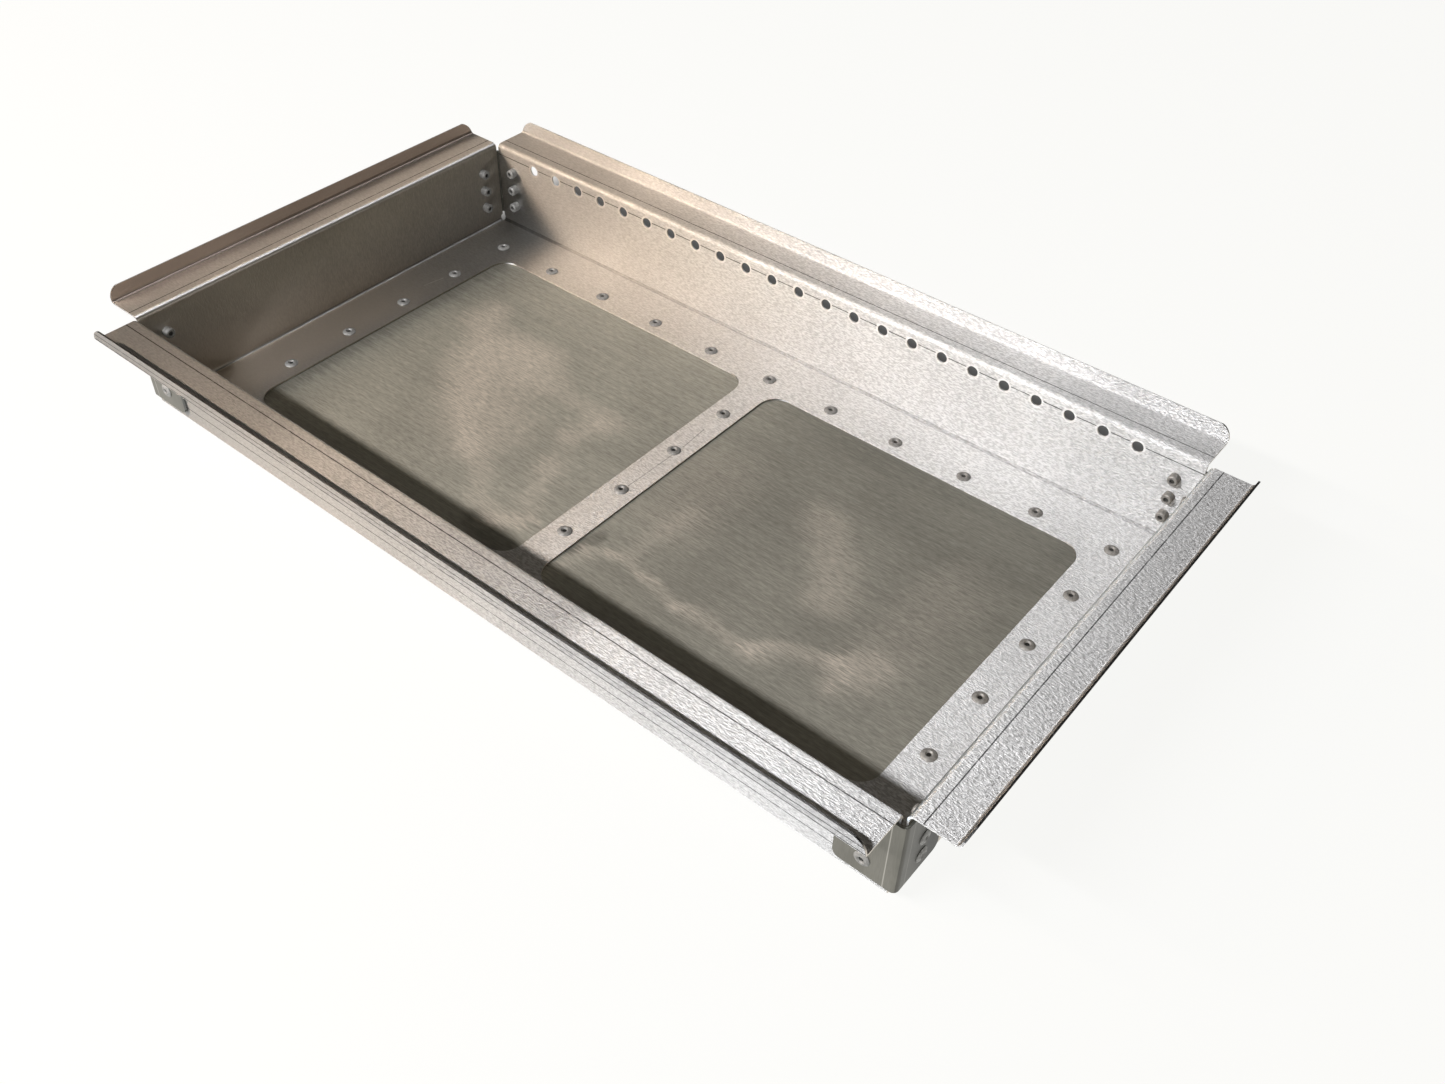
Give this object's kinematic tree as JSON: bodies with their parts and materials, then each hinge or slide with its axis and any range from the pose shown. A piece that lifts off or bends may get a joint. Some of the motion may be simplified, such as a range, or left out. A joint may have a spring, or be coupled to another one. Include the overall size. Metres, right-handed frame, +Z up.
{
  "type": "sluice box screening tray",
  "caption": "Shallow riveted sheet-metal screening tray with fine wire-cloth windows, outward hanging flanges with upturned lips, and a row of bolt holes along each long wall.",
  "frame": {"origin": "centre of the bounding box at its base, level with the rivet ends under the tray", "axes": "+Z up out of the open tray, X along the tray, front long side towards -Y"},
  "size_m": [0.5652, 0.3272, 0.0699],
  "materials": {
    "zinc_sheet": "zinc-coated sheet steel with a fine bright grain",
    "retainer_sheet": "zinc-coated sheet steel, plain",
    "bracket_sheet": "smooth satin sheet steel",
    "wire_cloth": "fine woven stainless wire cloth",
    "rivet_body": "satin blind rivet",
    "rivet_mandrel": "broken steel mandrel"
  },
  "bodies": {
    "root": {"tray_pan": "zinc_sheet", "screen_cloth": "wire_cloth", "screen_retainer_frame": "retainer_sheet", "screen_rivets_rear": "rivet_body", "screen_rivet_mandrels_rear": "rivet_mandrel", "screen_rivets_front": "rivet_body", "screen_rivet_mandrels_front": "rivet_mandrel", "screen_rivets_left": "rivet_body", "screen_rivet_mandrels_left": "rivet_mandrel", "screen_rivets_right": "rivet_body", "screen_rivet_mandrels_right": "rivet_mandrel", "screen_rivets_centre": "rivet_body", "screen_rivet_mandrels_centre": "rivet_mandrel", "corner_bracket_front_left": "bracket_sheet", "corner_rivets_front_left": "rivet_body", "corner_rivet_mandrels_front_left": "rivet_mandrel", "corner_bracket_front_right": "bracket_sheet", "corner_rivets_front_right": "rivet_body", "corner_rivet_mandrels_front_right": "rivet_mandrel", "corner_bracket_rear_left": "bracket_sheet", "corner_rivets_rear_left": "rivet_body", "corner_rivet_mandrels_rear_left": "rivet_mandrel", "corner_bracket_rear_right": "bracket_sheet", "corner_rivets_rear_right": "rivet_body", "corner_rivet_mandrels_rear_right": "rivet_mandrel"}
  },
  "joints": []
}
